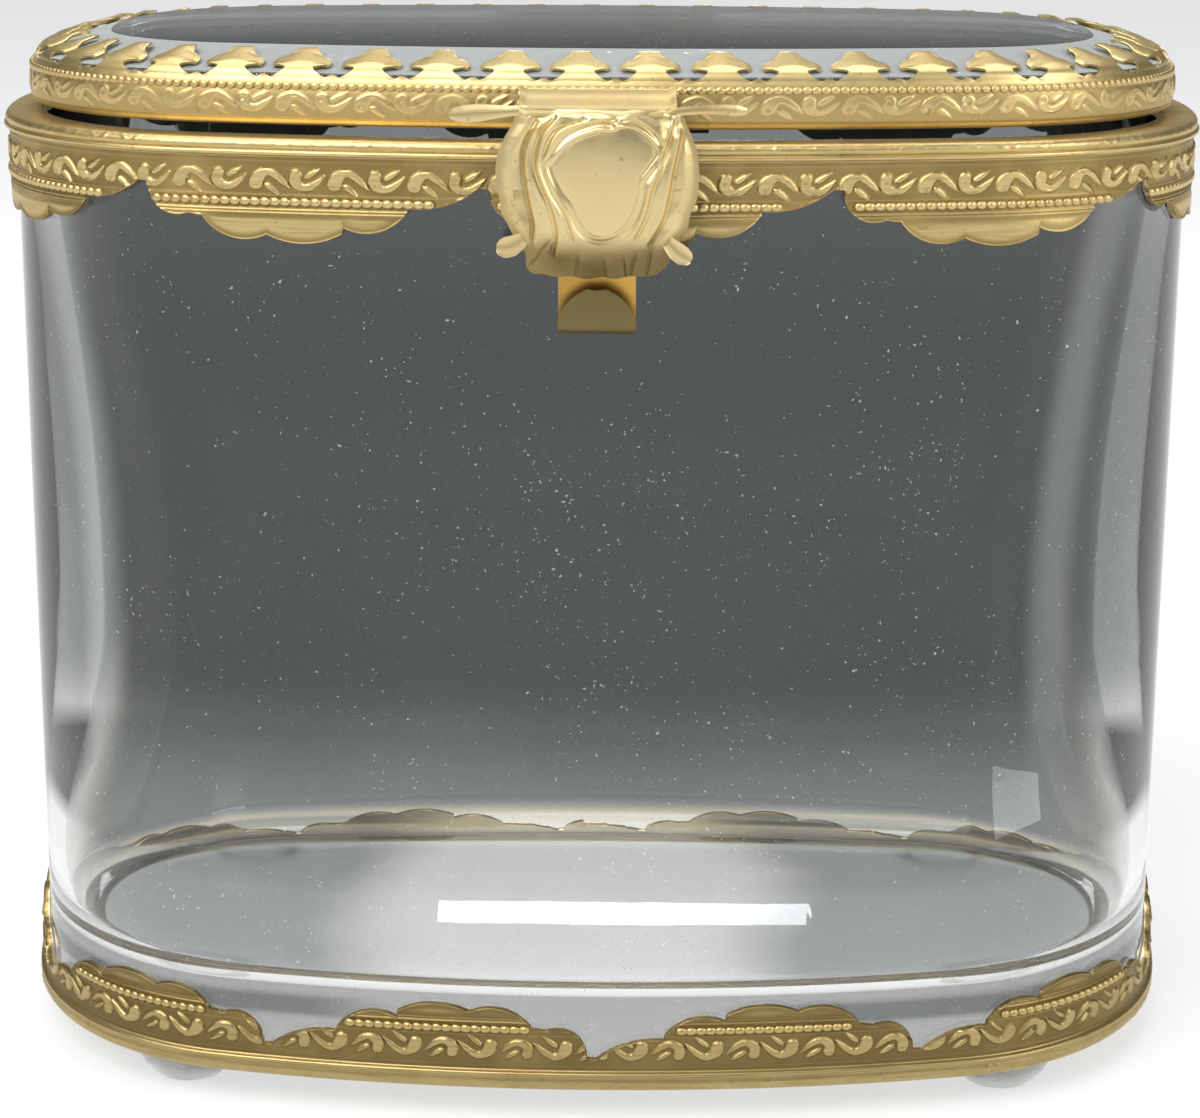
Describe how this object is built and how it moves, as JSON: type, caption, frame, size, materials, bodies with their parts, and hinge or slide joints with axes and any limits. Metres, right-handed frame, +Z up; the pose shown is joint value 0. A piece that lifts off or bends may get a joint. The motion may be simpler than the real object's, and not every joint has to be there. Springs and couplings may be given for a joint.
{
  "type": "glass casket box",
  "caption": "Oval casket of thick clear glass with stamped gilt-brass bands, a bevelled glass lid in a pronged bezel hinged at the back, and a hinged spring clasp in front.",
  "frame": {"origin": "middle of the oval plan, on the plane the four feet stand on", "axes": "+X to the right along the length, +Y to the back where the lid is hinged, +Z up out of the box"},
  "size_m": [0.1352, 0.094, 0.1148],
  "materials": {
    "clear_glass": "polished",
    "gilt_brass": "satin gilt, burnished on the raised edges",
    "clear_rubber": "glossy translucent polyurethane"
  },
  "bodies": {
    "case": {"glass_body": "clear_glass", "collar_band": "gilt_brass", "base_band": "gilt_brass", "body_hinge_leaf": "gilt_brass", "hinge_pin": "gilt_brass", "catch_stud": "gilt_brass", "foot_front_left": "clear_rubber", "foot_front_right": "clear_rubber", "foot_back_left": "clear_rubber", "foot_back_right": "clear_rubber"},
    "lid": {"lid_glass": "clear_glass", "lid_bezel": "gilt_brass", "lid_hinge_leaf": "gilt_brass", "clasp_hinge_strip": "gilt_brass", "clasp_pin": "gilt_brass"},
    "clasp": {"clasp_shield": "gilt_brass", "clasp_tongue": "gilt_brass"}
  },
  "joints": [
    {"name": "lid_hinge", "type": "hinge", "parent": "case", "child": "lid", "pos_m": [0, 0.04495, 0.10683], "axis": [-1, 0, 0], "range_deg": [0, 100]},
    {"name": "clasp_hinge", "type": "hinge", "parent": "lid", "child": "clasp", "pos_m": [0, -0.04178, 0.111], "axis": [-1, 0, 0], "range_deg": [0, 100]}
  ]
}
